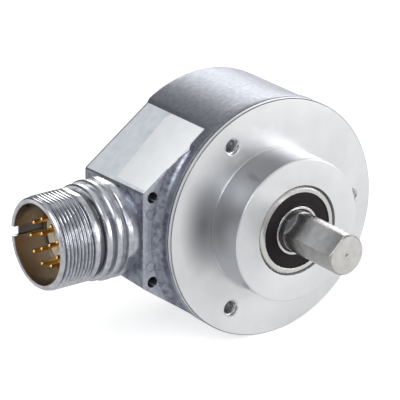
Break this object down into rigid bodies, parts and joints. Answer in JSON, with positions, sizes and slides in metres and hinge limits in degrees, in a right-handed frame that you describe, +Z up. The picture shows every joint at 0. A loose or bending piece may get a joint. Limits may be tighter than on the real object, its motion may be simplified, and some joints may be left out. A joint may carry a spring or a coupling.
{
  "type": "incremental rotary encoder",
  "caption": "Shaft encoder: round clamping flange with centring collar, flatted solid shaft in sealed ball bearings, die-cast housing and a threaded round connector on its side.",
  "frame": {"origin": "centre of the flange's mounting face, on the shaft axis", "axes": "-Y along the shaft, out of the flange; -X along the connector, towards its mouth; +Z up as in the picture"},
  "size_m": [0.0857, 0.0599, 0.06],
  "materials": {
    "bearing_steel": "ground, bright",
    "black_plastic": "glass-filled, matt",
    "black_rubber": "matt black",
    "board_green": "green solder mask",
    "brass_hub": "turned brass",
    "cage_plastic": "natural polyamide",
    "capacitor_can": "satin can",
    "cast_zinc": "raw die casting, matt and slightly mottled",
    "chip_plastic": "moulded epoxy",
    "disc_metal": "etched nickel sheet",
    "flex_film": "amber polyimide film",
    "gold_contact": "gold-plated",
    "insert_plastic": "cream thermoplastic",
    "lens_glass": "clear epoxy",
    "nickel_casting": "nickel-plated die casting, semi-bright",
    "polished_steel": "polished",
    "screw_steel": "zinc-plated",
    "shaft_steel": "ground stainless steel",
    "spring_steel": "phosphated spring steel",
    "turned_aluminium": "fine turned, satin"
  },
  "bodies": {
    "stator": {"front_flange": "turned_aluminium", "housing": "cast_zinc", "housing_seal": "black_rubber", "front_bearing_outer_ring": "bearing_steel", "front_bearing_seals": "black_rubber", "rear_bearing_outer_ring": "bearing_steel", "rear_bearing_seals": "black_rubber", "preload_spring": "spring_steel", "light_holder": "black_plastic", "light_source": "lens_glass", "sensor_chip": "chip_plastic", "main_board": "board_green", "board_standoffs": "brass_hub", "board_screws": "screw_steel", "driver_chips": "chip_plastic", "board_capacitors": "capacitor_can", "flex_socket": "insert_plastic", "signal_flex": "flex_film", "connector_shell": "nickel_casting", "connector_seal": "black_rubber", "connector_insert": "insert_plastic", "connector_pins": "gold_contact", "terminal_board": "board_green"},
    "rotor": {"shaft": "shaft_steel", "shaft_clip": "spring_steel", "disc_hub": "brass_hub", "code_disc": "disc_metal", "disc_clamp_ring": "turned_aluminium", "disc_screws": "screw_steel", "front_bearing_inner_ring": "bearing_steel", "rear_bearing_inner_ring": "bearing_steel"},
    "front_ball_set": {"front_bearing_balls": "polished_steel", "front_bearing_cage": "cage_plastic"},
    "rear_ball_set": {"rear_bearing_balls": "polished_steel", "rear_bearing_cage": "cage_plastic"}
  },
  "joints": [
    {"name": "shaft_spin", "type": "hinge", "parent": "stator", "child": "rotor", "pos_m": [0, 0, 0], "axis": [0, -1, 0], "continuous": true},
    {"name": "front_ball_set_spin", "type": "hinge", "parent": "stator", "child": "front_ball_set", "pos_m": [0, -0.007, 0], "axis": [0, -1, 0], "continuous": true},
    {"name": "rear_ball_set_spin", "type": "hinge", "parent": "stator", "child": "rear_ball_set", "pos_m": [0, 0.0047, 0], "axis": [0, -1, 0], "continuous": true}
  ],
  "couplings": [
    {"joint": "front_ball_set_spin", "follows": "shaft_spin", "ratio": 0.40078},
    {"joint": "rear_ball_set_spin", "follows": "shaft_spin", "ratio": 0.40078}
  ]
}
